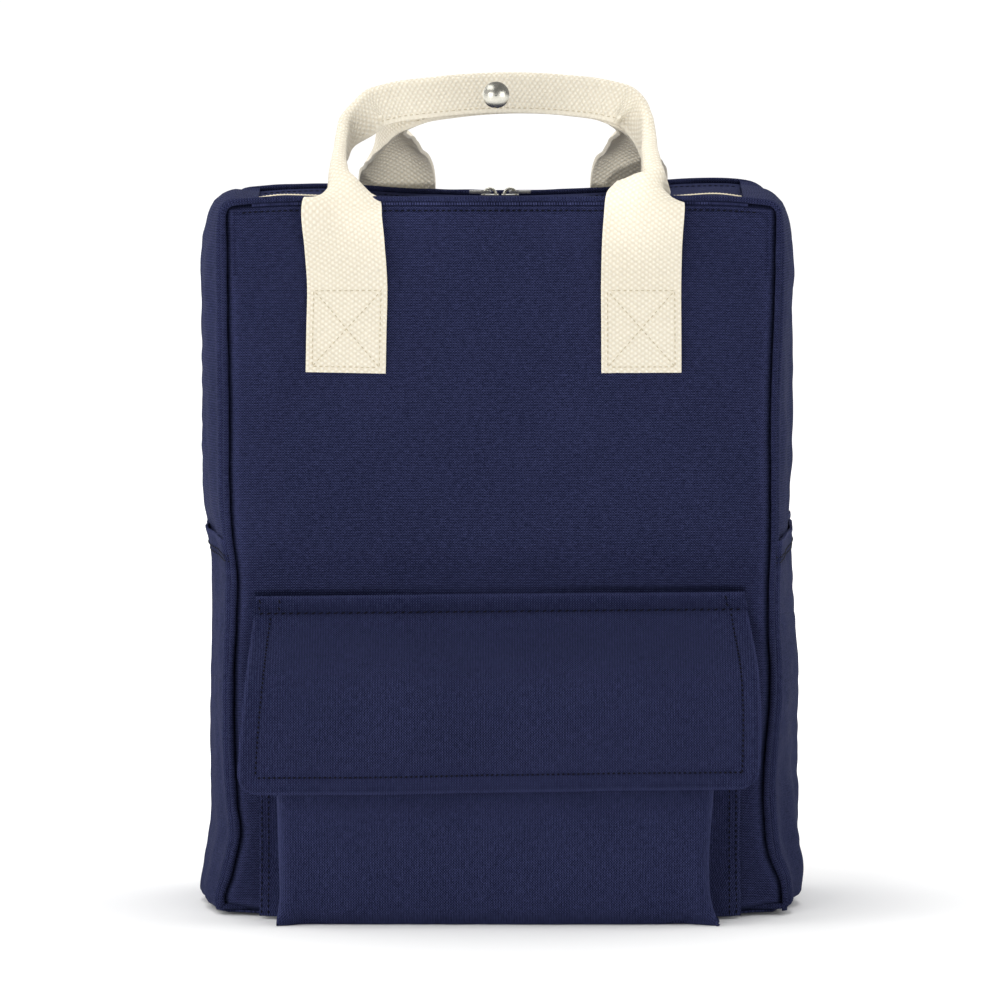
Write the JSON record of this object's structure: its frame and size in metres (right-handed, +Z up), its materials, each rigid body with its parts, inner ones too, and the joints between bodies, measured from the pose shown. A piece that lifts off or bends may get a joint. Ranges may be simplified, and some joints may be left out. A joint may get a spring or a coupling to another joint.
{
  "type": "school backpack",
  "caption": "Canvas school backpack with a zipped top, two webbing handles that snap together, a flapped front pocket, open side pockets and padded shoulder straps.",
  "frame": {"origin": "centre of the flat bottom, where the bag stands", "axes": "+Z up, -Y out of the front pocket, +X to the right seen from the front"},
  "size_m": [0.302, 0.2317, 0.4165],
  "materials": {
    "canvas": "plain-woven cotton canvas",
    "seam_canvas": "rolled canvas seam",
    "foam": "foam sheet",
    "hook_and_loop": "hook and loop tape",
    "webbing": "heavy natural cotton webbing",
    "zip_tape": "woven zip tape",
    "zip_teeth": "moulded coil",
    "nickel": "satin nickel plate"
  },
  "bodies": {
    "bag": {"front_panel": "canvas", "back_panel": "canvas", "back_pad": "foam", "bottom_panel": "canvas", "side_panel_left": "canvas", "side_panel_right": "canvas", "front_seam_welt": "seam_canvas", "back_seam_welt": "seam_canvas", "zip_end_tab_left": "canvas", "zip_end_tab_right": "canvas", "side_pocket_left": "canvas", "side_pocket_right": "canvas", "pocket_front": "canvas", "pocket_gusset": "canvas", "loop_tape": "hook_and_loop", "flap_band": "canvas", "handle_end_front_left": "webbing", "handle_end_front_right": "webbing", "handle_end_rear_left": "webbing", "handle_end_rear_right": "webbing", "strap_yoke": "canvas", "strap_tab_left": "canvas", "strap_tab_right": "canvas"},
    "front_lip": {"top_front_strip": "canvas", "zip_tape_front": "zip_tape", "zip_teeth_front": "zip_teeth"},
    "back_lip": {"top_back_strip": "canvas", "zip_tape_back": "zip_tape", "zip_teeth_back": "zip_teeth"},
    "slider_left": {"zip_slider_left": "nickel"},
    "slider_right": {"zip_slider_right": "nickel"},
    "pull_left": {"zip_pull_left": "nickel"},
    "pull_right": {"zip_pull_right": "nickel"},
    "flap": {"pocket_flap": "canvas", "hook_tape": "hook_and_loop"},
    "front_handle": {"front_handle_webbing": "webbing", "snap_cap": "nickel", "snap_socket": "nickel"},
    "rear_handle": {"rear_handle_webbing": "webbing", "snap_stud": "nickel", "snap_back_cap": "nickel"},
    "strap_left": {"strap_pad_left": "canvas", "strap_webbing_left": "webbing"},
    "strap_right": {"strap_pad_right": "canvas", "strap_webbing_right": "webbing"},
    "glide_left": {"tri_glide_left": "nickel"},
    "glide_right": {"tri_glide_right": "nickel"}
  },
  "joints": [
    {"name": "front_strip_fold", "type": "hinge", "parent": "bag", "child": "front_lip", "pos_m": [0, -0.0567, 0.3534], "axis": [-1, 0, 0], "range_deg": [0, 80], "deforming": ["zip_tape_front", "zip_teeth_front"]},
    {"name": "back_strip_fold", "type": "hinge", "parent": "bag", "child": "back_lip", "pos_m": [0, 0.0567, 0.3534], "axis": [1, 0, 0], "range_deg": [0, 80], "deforming": ["zip_tape_back", "zip_teeth_back"]},
    {"name": "left_slider_run", "type": "slide", "parent": "back_lip", "child": "slider_left", "axis": [-1, 0, 0], "range_m": [0, 0.105]},
    {"name": "right_slider_run", "type": "slide", "parent": "back_lip", "child": "slider_right", "axis": [1, 0, 0], "range_m": [0, 0.105]},
    {"name": "left_pull_flip", "type": "hinge", "parent": "slider_left", "child": "pull_left", "pos_m": [-0.0051, 0, 0.3576], "axis": [0, 1, 0], "range_deg": [0, 110]},
    {"name": "right_pull_flip", "type": "hinge", "parent": "slider_right", "child": "pull_right", "pos_m": [0.0051, 0, 0.3576], "axis": [0, -1, 0], "range_deg": [0, 110]},
    {"name": "flap_lift", "type": "hinge", "parent": "bag", "child": "flap", "pos_m": [0, -0.0675, 0.1532], "axis": [-1, 0, 0], "range_deg": [0, 115]},
    {"name": "front_handle_fold", "type": "hinge", "parent": "bag", "child": "front_handle", "pos_m": [0, -0.0665, 0.3144], "axis": [1, 0, 0], "range_deg": [0, 165]},
    {"name": "rear_handle_fold", "type": "hinge", "parent": "bag", "child": "rear_handle", "pos_m": [0, 0.0691, 0.3424], "axis": [-1, 0, 0], "range_deg": [0, 165]},
    {"name": "left_strap_swing", "type": "hinge", "parent": "bag", "child": "strap_left", "pos_m": [-0.052, 0.068, 0.3], "axis": [1, 0, 0], "range_deg": [0, 25]},
    {"name": "right_strap_swing", "type": "hinge", "parent": "bag", "child": "strap_right", "pos_m": [0.052, 0.068, 0.3], "axis": [1, 0, 0], "range_deg": [0, 25]},
    {"name": "left_glide_run", "type": "slide", "parent": "strap_left", "child": "glide_left", "axis": [-0.3161, -0.3864, -0.8665], "range_m": [-0.02, 0.02]},
    {"name": "right_glide_run", "type": "slide", "parent": "strap_right", "child": "glide_right", "axis": [0.3161, -0.3864, -0.8665], "range_m": [-0.02, 0.02]}
  ]
}
